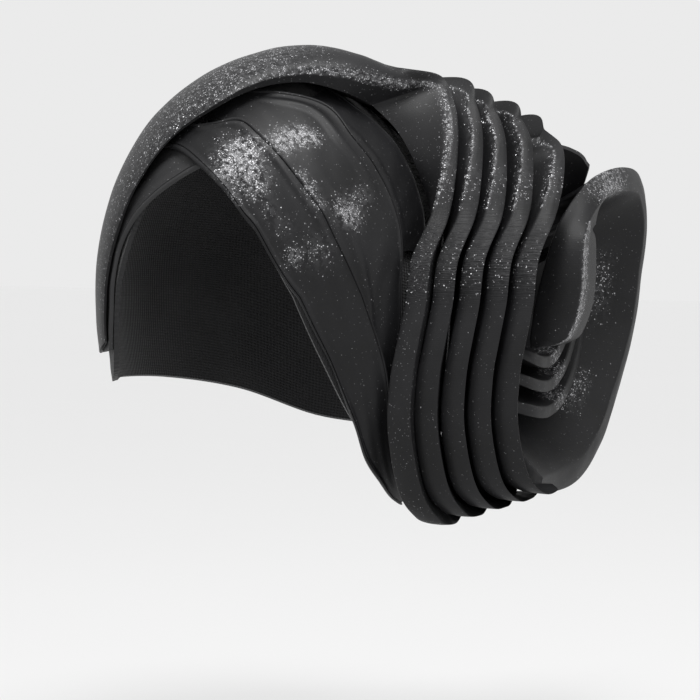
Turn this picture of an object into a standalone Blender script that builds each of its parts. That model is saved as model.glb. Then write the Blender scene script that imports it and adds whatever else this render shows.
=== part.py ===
"""Tied gele head tie: a stretch cap, crossed front wraps, a padded crown roll that turns into
nested pleats over the wearer's left ear, and a cupped rosette behind them.

Metres, +Z up. The wearer faces -Y and the wearer's left is +X. The origin is the inner crown of the
cap, where the head bears on it.
"""
import math

import bmesh
import bpy
import numpy as np

# Driving dimensions: the head that the cap is made for
HEAD_HALF_WIDTH = 0.075
HEAD_HALF_DEPTH = 0.095
HEAD_CROWN_RISE = 0.100
HEAD_LOWER_REACH = 0.150

# Cloth
CAP_WALL = 0.0022
WRAP_WALL = 0.0020
LAYER_GAP = 0.0004
PAD_CLEARANCE = 0.0012

# Padded crown roll and pleats
ROLL_HEIGHT = 0.0120
CROWN_STAND = 0.0115
FAN_STAND = 0.0250
PLEAT_THICKNESS = 0.0105
PLEAT_PITCH_OUT = 0.0112
PLEAT_PITCH_BACK = 0.0060
FAN_CLOSE = 0.0150
ROLL_FIRST_OVER = 101.0
ROLL_STEP_OVER = 9.5

# Rosette behind the pleats
ROSE_AXIS_TURN = 15.0
ROSE_OUT = 0.1200
ROSE_RADIUS = 0.0850
ROSE_CENTRE_BACK = 0.0680
ROSE_CENTRE_UP = -0.1180
PETAL_THICKNESS = 0.0120
TONGUE_DEPTH = 0.0600
INNER_PETAL_WALL = 0.0060
INNER_PETAL_OUT = 0.1200
GATHER_BACK = 0.0660
GATHER_UP = -0.1180
GATHER_HALF_BACK = 0.0200
GATHER_HALF_UP = 0.0320
GATHER_STAND = 0.0026

# Fineness of the lofts
SECTIONS_PER_ROW = 3
WRAP_SECTIONS_PER_ROW = 2
ACROSS_POINTS = 5
BAND_SWELL = 0.16

WRAP_BASE = CAP_WALL + LAYER_GAP
WRAP_STACK = CAP_WALL + 3 * (WRAP_WALL + LAYER_GAP)
PAD_BASE = WRAP_BASE + PAD_CLEARANCE
GATHER_OFF = PAD_BASE + GATHER_STAND

axis_turn = math.radians(ROSE_AXIS_TURN)
OUT = np.array([math.cos(axis_turn), math.sin(axis_turn), 0.0])
BACK = np.array([-math.sin(axis_turn), math.cos(axis_turn), 0.0])
UP = np.array([0.0, 0.0, 1.0])


def head_place(across, over, off):
    """A place over the head: degrees across to the wearer's left, degrees over from the face, distance off."""
    side = math.radians(across)
    turn = math.radians(over)
    height = math.cos(side) * math.sin(turn)
    reach = HEAD_CROWN_RISE if height > 0 else HEAD_LOWER_REACH
    return np.array([
        (HEAD_HALF_WIDTH + off) * math.sin(side),
        -(HEAD_HALF_DEPTH + off) * math.cos(side) * math.cos(turn),
        -HEAD_CROWN_RISE + (reach + off) * height,
    ])


def rose_place(out, back, up):
    """A place given along the rosette's axis, back from the ear, and up."""
    return out * OUT + back * BACK + up * UP


def unit(vector):
    return vector / np.linalg.norm(vector)


def smooth_between(rows, steps):
    """More rows between the given ones, each number on a smooth curve through its own values."""
    rows = np.asarray(rows, float)
    padded = np.concatenate([[2 * rows[0] - rows[1]], rows, [2 * rows[-1] - rows[-2]]])
    result = []
    for index in range(1, len(padded) - 2):
        before, start, end, after = padded[index - 1:index + 3]
        for step in range(steps):
            t = step / steps
            result.append(0.5 * (
                2 * start
                + (end - before) * t
                + (2 * before - 5 * start + 4 * end - after) * t ** 2
                + (3 * start - before - 3 * end + after) * t ** 3))
    result.append(rows[-1])
    return np.array(result)


def new_material(name, colour, roughness, metallic):
    material = bpy.data.materials.new(name)
    material.use_nodes = True
    shader = material.node_tree.nodes["Principled BSDF"]
    shader.inputs["Base Color"].default_value = (*colour, 1.0)
    shader.inputs["Roughness"].default_value = roughness
    shader.inputs["Metallic"].default_value = metallic
    return material


def add_object(name, mesh, material, collection):
    mesh.materials.append(material)
    mesh.shade_smooth()
    mesh.set_sharp_from_angle(angle=math.radians(50))
    piece = bpy.data.objects.new(name, mesh)
    collection.objects.link(piece)
    return piece


def cloth_sheet(name, grid, wall, material, collection, closed=False):
    """A cloth wall: a grid of places on its inner side, thickened outwards."""
    mesh = bpy.data.meshes.new(name)
    bm = bmesh.new()
    rows = [[bm.verts.new(place) for place in row] for row in grid]
    for lower, upper in zip(rows, rows[1:]):
        count = len(lower)
        for index in range(count if closed else count - 1):
            following = (index + 1) % count
            bm.faces.new((lower[index], lower[following], upper[following], upper[index]))
    bmesh.ops.remove_doubles(bm, verts=bm.verts, dist=1e-6)
    bmesh.ops.recalc_face_normals(bm, faces=bm.faces)
    middle = -HEAD_CROWN_RISE * UP
    outward = sum(np.dot(face.normal, np.array(face.calc_center_median()) - middle) for face in bm.faces)
    if outward < 0:
        bmesh.ops.reverse_faces(bm, faces=bm.faces)
    bm.to_mesh(mesh)
    bm.free()
    piece = add_object(name, mesh, material, collection)
    thicken = piece.modifiers.new("wall", "SOLIDIFY")
    thicken.thickness = wall
    thicken.offset = 1.0
    thicken.use_even_offset = True
    return piece


def padded_strip(name, sections, material, collection):
    """A closed padded strip: rings of places lofted one to the next, with both ends closed."""
    mesh = bpy.data.meshes.new(name)
    bm = bmesh.new()
    rings = [[bm.verts.new(place) for place in section] for section in sections]
    for ring, following in zip(rings, rings[1:]):
        count = len(ring)
        for index in range(count):
            after = (index + 1) % count
            bm.faces.new((ring[index], ring[after], following[after], following[index]))
    bm.faces.new(list(reversed(rings[0])))
    bm.faces.new(rings[-1])
    bmesh.ops.triangulate(bm, faces=bm.faces, quad_method="FIXED")
    if bm.calc_volume(signed=True) < 0:
        bmesh.ops.reverse_faces(bm, faces=bm.faces)
    bm.to_mesh(mesh)
    bm.free()
    return add_object(name, mesh, material, collection)


def band_ring(top, bottom):
    """One section of a strip: its outer side one way, its inner side back the other way."""
    return list(top) + list(reversed(bottom))


def share_steps(count):
    return [index / (count - 1) for index in range(count)]


# Base cap: the lower edge, by degrees round the head from the face
CAP_EDGE = [
    # turn, rise
    (-180, -28),
    (-150, -26),
    (-120, -20),
    (-90, -17),
    (-60, -16),
    (-42, -16),
    (-30, -12),
    (-22, 4),
    (-13, 25),
    (-4, 40),
    (6, 45),
    (15, 40),
    (26, 29),
    (36, 15),
    (46, 0),
    (56, -12),
    (68, -23),
    (84, -31),
    (102, -34),
    (132, -33),
    (156, -30),
    (180, -28),
]
CAP_ROWS = 11


def cap_place(turn, rise, off):
    """A place on the cap: degrees round from the face, degrees above the widest level."""
    around = math.radians(turn)
    climb = math.radians(rise)
    reach = HEAD_CROWN_RISE if rise > 0 else HEAD_LOWER_REACH
    return np.array([
        (HEAD_HALF_WIDTH + off) * math.cos(climb) * math.sin(around),
        -(HEAD_HALF_DEPTH + off) * math.cos(climb) * math.cos(around),
        -HEAD_CROWN_RISE + (reach + off) * math.sin(climb),
    ])


def make_base_cap(material, collection):
    edge = smooth_between(CAP_EDGE, 2)[:-1]
    grid = []
    for share in share_steps(CAP_ROWS):
        grid.append([cap_place(turn, rise + share * (90 - rise), 0.0) for turn, rise in edge])
    return cloth_sheet("base_cap", grid, CAP_WALL, material, collection, closed=True)


# Front wraps: both edges in degrees across and over, and the lift off the cap at each, in wrap layers
UNDER_WRAP = [
    # low across, low over, high across, high over, low lift, high lift
    (-27, -11, -37, -13, 0.0, 0.0),
    (-24, -4, -35, 0, 0.0, 0.0),
    (-22, 6, -33, 11, 0.0, 0.0),
    (-18, 15, -28, 23, 0.0, 0.0),
    (-10, 23, -21, 38, 0.0, 0.0),
    (1, 30, -10, 44, 0.0, 0.0),
    (9, 35, 2, 47, 0.0, 0.0),
    (15, 39, 12, 43, 0.0, 0.0),
]
FRONT_WRAP_LOWER = [
    (-12, 41, -12, 49, 1.2, 1.3),
    (-2, 39, 2, 47, 1.2, 1.6),
    (8, 35, 9, 48, 1.2, 2.0),
    (20, 29, 16, 51, 0.9, 2.1),
    (28, 23, 25, 48, 0.4, 2.1),
    (34, 18, 34, 44, 0.1, 2.1),
    (44, 4, 44, 38, 0.1, 2.1),
    (50, -6, 52, 31, 0.1, 2.1),
    (56, -23, 62, 13, 0.1, 2.1),
    (58, -46, 69, -15, 0.1, 2.1),
    (56, -64, 70, -42, 0.1, 2.0),
    (54, -80, 65, -66, 0.1, 1.6),
    (50, -95, 58, -88, 0.1, 1.2),
    (45, -108, 50, -103, 0.1, 0.6),
]
FRONT_WRAP_MIDDLE = [
    (2, 51, 0, 62, 0.0, 1.2),
    (10, 49, 8, 64, 0.0, 1.2),
    (20, 46, 18, 68, 0.0, 1.2),
    (29, 43, 32, 75, 0.0, 1.2),
    (38, 38, 44, 73, 0.0, 1.2),
    (46, 30, 55, 73, 0.0, 1.2),
    (54, 17, 64, 71, 0.0, 1.2),
    (62, -6, 73, 62, 0.0, 1.2),
    (64, -30, 79, 34, 0.0, 1.1),
    (62, -52, 80, -20, 0.0, 1.0),
    (60, -72, 72, -62, 0.0, 0.8),
]
FRONT_WRAP_UPPER = [
    (26, 69, 22, 88, 0.0, 0.0),
    (34, 69, 33, 91, 0.0, 0.0),
    (45, 68, 45, 99, 0.0, 0.0),
    (54, 67, 58, 105, 0.0, 0.0),
    (62, 64, 68, 109, 0.0, 0.0),
    (70, 56, 77, 112, 0.0, 0.0),
    (76, 40, 82, 130, 0.0, 0.0),
]
WRAP_ACROSS = 7


def make_wrap(name, table, material, collection):
    """A wrap that lies over the head between its two edges, one wall thick."""
    layer = WRAP_WALL + LAYER_GAP
    grid = []
    for row in smooth_between(table, WRAP_SECTIONS_PER_ROW):
        low_across, low_over, high_across, high_over, low_lift, high_lift = row
        line = []
        for share in share_steps(WRAP_ACROSS):
            across = low_across + share * (high_across - low_across)
            over = low_over + share * (high_over - low_over)
            lift = low_lift + share * (high_lift - low_lift)
            line.append(head_place(across, over, WRAP_BASE + lift * layer))
        grid.append(line)
    return cloth_sheet(name, grid, WRAP_WALL, material, collection)


# Crown roll: its front edge and its back edge over the head, from the right temple to the crown
HALO_ROWS = [
    # front across, front over, back across, back over, front seat, front edge, crest, back height
    (-27, -9, -72, -24, 1.00, 0.12, 0.16, 0.14),
    (-26, -4, -78, -10, 1.00, 0.14, 0.18, 0.14),
    (-24, 5, -80, 18, 1.00, 0.16, 0.20, 0.16),
    (-20, 16, -80, 50, 1.00, 0.18, 0.27, 0.20),
    (-13, 28, -76, 72, 1.9, 0.12, 0.34, 0.26),
    (-3, 40, -60, 84, 3.2, 0.12, 0.46, 0.38),
    (7, 51, -36, 91, 3.4, 0.24, 0.66, 0.52),
    (14, 62, -12, 95, 3.4, 0.36, 0.98, 0.74),
    (22, 73, 6, 97, 3.4, 0.50, 1.42, 1.00),
    (31, 82, 22, 98, 3.4, 0.85, 1.80, 1.50),
]

# Fan: the visible front corner of the first pleat and the way its band runs, then where its wall
# is rooted on the head, for the first pleat (near) and for the last one (far)
FAN_ROWS = [
    # across, over, off, band out/back/up, thickness, near turn, near rise, far turn, far rise, rise by pleat
    (38, 96, 0.64, 0.1, 0.5, 0.9, 1.10, 93, 55, 146, 34, 0.0),
    (40, 107, 1.00, 0.2, 0.6, 0.8, 0.72, 95, 53, 143, 30, 0.0),
    (47, 106, 0.96, 0.6, 0.7, 0.5, 0.58, 98, 46, 138, 26, 0.0),
    (54, 103, 0.84, 0.7, 0.7, 0.1, 0.58, 98, 39, 133, 22, 0.0),
    (63, 96, 0.62, 0.8, 0.6, 0.0, 0.70, 97, 31, 127, 16, 0.0),
    (72, 82, 0.36, 0.9, 0.4, 0.0, 0.86, 96, 20, 121, 10, 0.0),
    (77, 40, 0.20, 1.0, 0.1, 0.0, 0.97, 94, 8, 116, 4, 0.0),
    (78, -7, 0.14, 1.0, 0.0, 0.0, 1.01, 92, -2, 112, -2, 0.0),
    (74, -28, 0.14, 1.0, 0.0, 0.0, 1.02, 92, -8, 110, -8, 0.0),
    (69, -42, 0.14, 1.0, 0.0, 0.0, 1.03, 92, -15, 111, -15, 0.1),
    (63, -57, 0.20, 1.0, 0.0, 0.0, 1.10, 95, -23, 114, -21, 0.2),
    (56, -75, 0.42, 1.0, 0.1, 0.0, 1.10, 98, -29, 117, -26, 0.6),
    (53, -87, 0.64, 1.0, 0.2, -0.1, 1.06, 101, -33, 120, -29, 1.0),
    (52, -96, 0.70, 1.0, 0.2, -0.1, 1.00, 103, -36, 122, -32, 1.3),
    (50, -106, 0.60, 1.0, 0.1, 0.0, 0.90, 104, -38, 123, -34, 1.3),
]
FAR_ROOT_STAND = 0.35
ROOT_SHARE = 0.84
ROOT_SHARE_TOP = 0.40
LAST_PLACE = 5

# Each pleat behind the first: how far along the fan it lies, lower down and at its top, and its top's rise
PLEATS = [
    # name, place along the fan, place at the top, rise at the top, last row
    ("pleat_2", 1, 0.72, -0.07, 15),
    ("pleat_3", 2, 1.40, -0.42, 15),
    ("pleat_4", 3, 2.40, -0.80, 15),
    ("pleat_5", 4, 4.00, -2.10, 14),
]
TOP_WEIGHTS = [1.0, 1.0, 0.7, 0.4, 0.2]

# Rolls over the crown that lead into the pleats behind the first
ROLL_ROWS = [
    # across, width, height
    (-80, 0.90, 0.30),
    (-66, 0.94, 0.50),
    (-40, 0.95, 0.66),
    (-10, 0.92, 0.72),
    (18, 0.88, 0.80),
]

# Back pleat: a broad one down the back of the head, then its end that bends out behind the fan
BACK_PLEAT_ROWS = [
    # across, first over, last over, height, stand
    (-80, 141, 180, 0.30, 0.0),
    (-66, 140, 182, 0.50, 0.0),
    (-40, 140, 183, 0.66, 0.0),
    (-10, 141, 183, 0.72, 0.0),
    (14, 143, 173, 0.75, 0.1),
    (34, 151, 162, 0.75, 0.5),
]
BACK_PLEAT_END = [
    # upper out, back, up, lower out, back, up
    (0.112, 0.049, -0.028, 0.098, 0.066, -0.050),
    (0.127, 0.062, -0.035, 0.118, 0.074, -0.046),
]
BACK_PLEAT_WALL = 0.0040


def halo_section(row):
    """The crown roll over the head, seated on the wraps in front and on the cap behind."""
    front_across, front_over, back_across, back_over, seat, edge, crest, back = row
    layer = WRAP_WALL + LAYER_GAP
    top = []
    bottom = []
    for share in share_steps(ACROSS_POINTS):
        across = front_across + share * (back_across - front_across)
        over = front_over + share * (back_over - front_over)
        seat_off = PAD_BASE + layer * seat * max(0.0, 1 - 1.5 * share)
        line = edge + share * (back - edge)
        rise = line + (crest - (edge + back) / 2) * math.sin(math.pi * share) ** 0.8
        top.append(head_place(across, over, seat_off + CROWN_STAND * rise))
        bottom.append(head_place(across, over, seat_off))
    return band_ring(top, bottom)


def top_weight(row_index):
    """How far a row of the fan belongs to its top."""
    return TOP_WEIGHTS[row_index] if row_index < len(TOP_WEIGHTS) else 0.0


def fan_root(row, along):
    """Where a pleat's wall is rooted, between the first pleat's root and the last one's."""
    near_turn, near_rise, far_turn, far_rise = row[7:11]
    near = cap_place(near_turn, near_rise, WRAP_STACK + LAYER_GAP)
    far = cap_place(far_turn, far_rise, WRAP_STACK + FAR_ROOT_STAND * FAN_STAND)
    return near + along / LAST_PLACE * (far - near)


def fan_section(row, along, weight, top_rise):
    """One section of a pleat in the fan: the band that shows, and the wall that runs in to its root."""
    across, over, off, band_out, band_back, band_up, thickness = row[:7]
    corner = head_place(across, over, WRAP_STACK + off * FAN_STAND)
    corner = corner + along * (PLEAT_PITCH_OUT * OUT + PLEAT_PITCH_BACK * BACK)
    corner = corner + (weight * top_rise + along / LAST_PLACE * row[11]) * FAN_CLOSE * UP
    band = unit(rose_place(band_out, band_back, band_up))
    root = fan_root(row, along)
    root_share = ROOT_SHARE + weight * (ROOT_SHARE_TOP - ROOT_SHARE)
    root_step = fan_root(row, along + root_share) - root
    bulge = unit(corner - root)
    width = thickness * PLEAT_THICKNESS
    top = []
    bottom = []
    for share in share_steps(ACROSS_POINTS):
        swell = BAND_SWELL * width * math.sin(math.pi * share)
        top.append(corner + share * width * band + swell * bulge)
        bottom.append(root + share * root_step)
    return band_ring(top, bottom)


def roll_section(across, first_over, last_over, height, stand=0.0):
    """A roll over the crown, seated on the cap."""
    top = []
    bottom = []
    for share in share_steps(ACROSS_POINTS):
        over = first_over + share * (last_over - first_over)
        swell = 0.55 + 0.45 * math.sin(math.pi * share)
        top.append(head_place(across, over, PAD_BASE + ROLL_HEIGHT * (stand + height * swell)))
        bottom.append(head_place(across, over, PAD_BASE + ROLL_HEIGHT * stand))
    return band_ring(top, bottom)


def make_crown_pleat(material, collection):
    sections = [halo_section(row) for row in HALO_ROWS]
    sections += [fan_section(row, 0, top_weight(index), 0.0) for index, row in enumerate(FAN_ROWS)]
    return padded_strip("crown_pleat", smooth_between(sections, SECTIONS_PER_ROW), material, collection)


def make_pleats(material, collection):
    pieces = []
    for index, (name, along, top_along, top_rise, last_row) in enumerate(PLEATS):
        start = ROLL_FIRST_OVER + index * ROLL_STEP_OVER
        sections = [
            roll_section(across, start, start + width * ROLL_STEP_OVER, height)
            for across, width, height in ROLL_ROWS]
        for row_index, row in enumerate(FAN_ROWS[1:last_row], start=1):
            weight = top_weight(row_index)
            place = along + weight * (top_along - along)
            sections.append(fan_section(row, place, weight, top_rise))
        strip = smooth_between(sections, SECTIONS_PER_ROW)
        pieces.append(padded_strip(name, strip, material, collection))
    return pieces


def make_back_pleat(material, collection):
    """The last pleat, over the back of the head, with its end bent out behind the fan."""
    sections = [roll_section(*row) for row in BACK_PLEAT_ROWS]
    for row in BACK_PLEAT_END:
        upper = rose_place(*row[:3])
        lower = rose_place(*row[3:])
        outward = unit(np.cross(lower - upper, OUT))
        if np.dot(outward, BACK) < 0:
            outward = -outward
        top = []
        bottom = []
        for share in share_steps(ACROSS_POINTS):
            place = upper + share * (lower - upper)
            top.append(place + BACK_PLEAT_WALL * outward)
            bottom.append(place)
        sections.append(band_ring(top, bottom))
    return padded_strip("pleat_6", smooth_between(sections, SECTIONS_PER_ROW), material, collection)


# Outer petal: its outer corner round the rosette, the way its band runs, and where its wall is gathered
OUTER_PETAL = [
    # out, back, up, band out/back/up, thickness, gather back, gather up
    (1.02, -0.50, -0.93, 0.1, 0.5, 0.90, 0.7, -0.90, -0.90),
    (1.02, -0.16, -0.96, 0.1, 0.2, 0.95, 0.9, -0.50, -1.10),
    (1.05, 0.22, -0.92, 0.1, -0.2, 0.95, 1.0, 0.10, -1.15),
    (1.08, 0.55, -0.74, 0.1, -0.6, 0.80, 1.0, 0.60, -0.95),
    (1.11, 0.82, -0.42, 0.1, -0.9, 0.40, 1.0, 0.95, -0.55),
    (1.15, 0.97, -0.05, 0.1, -1.0, 0.05, 1.0, 1.10, -0.05),
    (1.18, 1.00, 0.32, 0.1, -1.0, -0.20, 1.0, 1.05, 0.45),
    (1.21, 0.94, 0.63, 0.1, -0.9, -0.50, 1.0, 0.80, 0.85),
    (1.22, 0.70, 0.88, 0.1, -0.5, -0.90, 1.0, 0.40, 1.05),
    (1.21, 0.30, 0.93, 0.2, 0.0, -1.00, 1.0, 0.00, 1.10),
]
ROOT_TAPER = 0.22

# Tongue: the end of the outer petal, turned down into the middle of the rosette
TONGUE = [
    # out, back, up, band out/back/up, thickness, wall out/back/up, depth
    (1.15, -0.10, 0.85, 0.7, 0.1, -0.70, 1.0, -0.60, 0.60, -0.50, 0.45),
    (1.09, -0.34, 0.66, 0.9, 0.1, -0.30, 1.1, -0.20, 1.00, -0.20, 0.40),
    (1.05, -0.46, 0.46, 1.0, 0.1, 0.00, 1.4, 0.00, 1.00, 0.00, 0.40),
    (1.01, -0.52, 0.18, 1.0, 0.1, 0.00, 1.8, 0.00, 1.00, 0.00, 0.42),
    (0.99, -0.54, -0.06, 1.0, 0.1, 0.00, 1.6, 0.00, 1.00, 0.00, 0.40),
]

# Inner petals: rims on part of an oval inside the cup, gathered with the outer petal
INNER_PETALS = [
    # name, half length back, half height, first degrees, last degrees, gather share
    ("inner_petal_1", 0.60, 0.47, 32, -118, 0.44),
    ("inner_petal_2", 0.75, 0.61, 30, -112, 0.58),
    ("inner_petal_3", 0.90, 0.76, 8, -104, 0.73),
]
INNER_CENTRE_BACK = 0.0480
INNER_CENTRE_UP = -0.0980
INNER_ROOT_TAPER = 0.09
INNER_SECTIONS = 12


def gather_place(back_share, up_share, off):
    """A place on the head behind the ear, where the petals are gathered and meet the cap."""
    back = GATHER_BACK + back_share * GATHER_HALF_BACK
    up = GATHER_UP + up_share * GATHER_HALF_UP
    reach = HEAD_CROWN_RISE if up > -HEAD_CROWN_RISE else HEAD_LOWER_REACH
    level = (up + HEAD_CROWN_RISE) / (reach + off)
    weights = 1 / np.array([HEAD_HALF_WIDTH + off, HEAD_HALF_DEPTH + off]) ** 2
    square = np.dot(weights, OUT[:2] ** 2)
    cross = back * np.dot(weights, OUT[:2] * BACK[:2])
    rest = back ** 2 * np.dot(weights, BACK[:2] ** 2) + level ** 2 - 1
    out = (-cross + math.sqrt(cross ** 2 - square * rest)) / square
    return rose_place(out, back, up)


def petal_corner(out, back, up):
    """A corner of the outer petal, from its shares of the rosette's size."""
    return rose_place(
        out * ROSE_OUT,
        ROSE_CENTRE_BACK + back * ROSE_RADIUS,
        ROSE_CENTRE_UP + up * ROSE_RADIUS)


def make_outer_petal(material, collection):
    swell = BAND_SWELL * PETAL_THICKNESS
    sections = []
    for out, back, up, band_out, band_back, band_up, thickness, gather_back, gather_up in OUTER_PETAL:
        corner = petal_corner(out, back, up)
        band = unit(rose_place(band_out, band_back, band_up))
        away = unit(corner - gather_place(gather_back, gather_up, GATHER_OFF))
        top = []
        bottom = []
        for share in share_steps(ACROSS_POINTS):
            rise = swell * math.sin(math.pi * share)
            top.append(corner + share * thickness * PETAL_THICKNESS * band + rise * away)
            inward = 1 - ROOT_TAPER * share
            bottom.append(gather_place(inward * gather_back, inward * gather_up, GATHER_OFF))
        sections.append(band_ring(top, bottom))
    for (out, back, up, band_out, band_back, band_up, thickness,
         wall_out, wall_back, wall_up, depth) in TONGUE:
        corner = petal_corner(out, back, up)
        band = unit(rose_place(band_out, band_back, band_up))
        wall = unit(rose_place(wall_out, wall_back, wall_up))
        width = thickness * PETAL_THICKNESS
        top = []
        bottom = []
        for share in share_steps(ACROSS_POINTS):
            rise = swell * math.sin(math.pi * share)
            top.append(corner + share * width * band - rise * wall)
            bottom.append(corner + share * width * band + depth * TONGUE_DEPTH * wall)
        sections.append(band_ring(top, bottom))
    return padded_strip("outer_petal", smooth_between(sections, SECTIONS_PER_ROW), material, collection)


def make_inner_petals(material, collection):
    pieces = []
    for name, reach, height, first, last, gather in INNER_PETALS:
        sections = []
        for turn_share in share_steps(INNER_SECTIONS):
            angle = math.radians(first + turn_share * (last - first))
            away = unit(rose_place(0.0, math.cos(angle) / reach, math.sin(angle) / height))
            rim = rose_place(
                INNER_PETAL_OUT,
                INNER_CENTRE_BACK + reach * ROSE_RADIUS * math.cos(angle),
                INNER_CENTRE_UP + height * ROSE_RADIUS * math.sin(angle))
            top = []
            bottom = []
            for share in share_steps(ACROSS_POINTS):
                rise = BAND_SWELL * INNER_PETAL_WALL * math.sin(math.pi * share)
                top.append(rim - share * INNER_PETAL_WALL * away + rise * OUT)
                inward = gather - INNER_ROOT_TAPER * share
                root_back = inward * math.cos(angle)
                root_up = inward * math.sin(angle)
                bottom.append(gather_place(root_back, root_up, WRAP_BASE))
            sections.append(band_ring(top, bottom))
        pieces.append(padded_strip(name, sections, material, collection))
    return pieces


def main():
    for thing in list(bpy.data.objects):
        bpy.data.objects.remove(thing, do_unlink=True)
    collection = bpy.data.collections.new("gele_head_tie")
    bpy.context.scene.collection.children.link(collection)

    stretch_cloth = new_material("stretch_cloth", (0.030, 0.030, 0.032), 0.75, 0.0)
    glitter_cloth = new_material("glitter_cloth", (0.025, 0.025, 0.027), 0.50, 0.1)
    under_cloth = new_material("under_cloth", (0.045, 0.045, 0.047), 0.70, 0.0)

    make_base_cap(stretch_cloth, collection)
    make_wrap("under_wrap", UNDER_WRAP, under_cloth, collection)
    make_wrap("front_wrap_lower", FRONT_WRAP_LOWER, glitter_cloth, collection)
    make_wrap("front_wrap_middle", FRONT_WRAP_MIDDLE, glitter_cloth, collection)
    make_wrap("front_wrap_upper", FRONT_WRAP_UPPER, glitter_cloth, collection)
    make_crown_pleat(glitter_cloth, collection)
    make_pleats(glitter_cloth, collection)
    make_back_pleat(glitter_cloth, collection)
    make_outer_petal(glitter_cloth, collection)
    make_inner_petals(glitter_cloth, collection)


main()
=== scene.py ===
import math

import bpy
import numpy as np
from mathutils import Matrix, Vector, noise


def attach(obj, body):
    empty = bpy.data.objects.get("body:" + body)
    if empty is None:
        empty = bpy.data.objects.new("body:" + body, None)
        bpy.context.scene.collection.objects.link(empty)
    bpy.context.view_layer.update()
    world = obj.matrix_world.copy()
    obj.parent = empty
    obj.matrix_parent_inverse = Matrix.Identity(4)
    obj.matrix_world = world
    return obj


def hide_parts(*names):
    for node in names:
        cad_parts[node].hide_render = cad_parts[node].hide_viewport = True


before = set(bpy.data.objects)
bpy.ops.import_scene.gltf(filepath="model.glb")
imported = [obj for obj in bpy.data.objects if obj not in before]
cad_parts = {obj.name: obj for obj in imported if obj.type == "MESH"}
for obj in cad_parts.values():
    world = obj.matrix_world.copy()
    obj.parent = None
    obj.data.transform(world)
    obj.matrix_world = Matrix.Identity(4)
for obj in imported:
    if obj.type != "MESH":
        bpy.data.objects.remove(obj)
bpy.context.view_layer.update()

CAMERA_TURN = math.radians(35.0)
CAMERA_RISE = math.radians(3.0)
CAMERA_DISTANCE = 1.30
FRAME_WIDTH_AT_OBJECT = 0.3415
AIM = Vector((0.0268, 0.0187, -0.1288))
toward_camera = Vector((
    math.sin(CAMERA_TURN) * math.cos(CAMERA_RISE),
    -math.cos(CAMERA_TURN) * math.cos(CAMERA_RISE),
    math.sin(CAMERA_RISE)))
camera_data = bpy.data.cameras.new("camera")
camera_data.sensor_width = 36.0
camera_data.lens = 36.0 * CAMERA_DISTANCE / FRAME_WIDTH_AT_OBJECT
camera = bpy.data.objects.new("camera", camera_data)
camera.location = AIM + CAMERA_DISTANCE * toward_camera
camera.rotation_euler = toward_camera.to_track_quat("Z", "Y").to_euler()
bpy.context.scene.collection.objects.link(camera)
bpy.context.scene.camera = camera

world = bpy.data.worlds.new("pale_room")
world.use_nodes = True
world.node_tree.nodes["Background"].inputs["Color"].default_value = (0.83, 0.83, 0.83, 1.0)
world.node_tree.nodes["Background"].inputs["Strength"].default_value = 1.0
bpy.context.scene.world = world
bpy.context.scene.view_settings.view_transform = "Standard"

LAMPS = [
    # name, place from the aim, size, power
    ("top_lamp", (0.36, -0.26, 1.10), 0.40, 11.0),
    ("front_lamp", (-0.50, -1.20, 0.70), 0.7, 2.0),
    ("left_lamp", (1.20, -0.10, 0.55), 0.5, 1.5),
]
for name, offset, size, power in LAMPS:
    lamp_data = bpy.data.lights.new(name, "AREA")
    lamp_data.size = size
    lamp_data.energy = power
    lamp = bpy.data.objects.new(name, lamp_data)
    lamp.location = AIM + Vector(offset)
    lamp.rotation_euler = Vector(offset).to_track_quat("Z", "Y").to_euler()
    bpy.context.scene.collection.objects.link(lamp)


class Wire:
    """One socket of a material. Sums, products and the like of wires add Math nodes to it."""

    def __init__(self, tree, socket=None):
        self.tree = tree
        self.socket = socket

    def node(self, kind, settings, sockets, output=0):
        """Adds a node of any kind: its settings first, then the values or wires of its sockets."""
        made = self.tree.nodes.new(kind)
        for setting, value in settings.items():
            setattr(made, setting, value)
        for name, value in sockets.items():
            if isinstance(value, Wire):
                self.tree.links.new(value.socket, made.inputs[name])
            else:
                made.inputs[name].default_value = value
        return Wire(self.tree, made.outputs[output])

    def math(self, operation, first, second=0.0):
        return self.node("ShaderNodeMath", {"operation": operation}, {0: first, 1: second})

    def __add__(self, other):
        return self.math("ADD", self, other)

    def __radd__(self, other):
        return self.math("ADD", other, self)

    def __sub__(self, other):
        return self.math("SUBTRACT", self, other)

    def __rsub__(self, other):
        return self.math("SUBTRACT", other, self)

    def __mul__(self, other):
        return self.math("MULTIPLY", self, other)

    def __rmul__(self, other):
        return self.math("MULTIPLY", other, self)

    def between(self, low, high):
        """0 below low, 1 above high, and smooth from one to the other."""
        return self.node(
            "ShaderNodeMapRange",
            {"interpolation_type": "SMOOTHSTEP"},
            {"Value": self, "From Min": low, "From Max": high})

    def blend(self, first, second):
        """Mixes two colours or vectors by this wire."""
        return self.node("ShaderNodeMix", {"data_type": "RGBA"}, {0: self, 6: first, 7: second}, 2)


def new_finish(name):
    """An empty material, as a wire to build from, its shader, and the place on the object in metres."""
    material = bpy.data.materials.new(name)
    material.use_nodes = True
    shader = material.node_tree.nodes["Principled BSDF"]
    start = Wire(material.node_tree)
    place = start.node("ShaderNodeTexCoord", {}, {}, "Object")
    return material, start, shader, place


def plug(shader, socket, wire):
    wire.tree.links.new(wire.socket, shader.inputs[socket])


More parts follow.
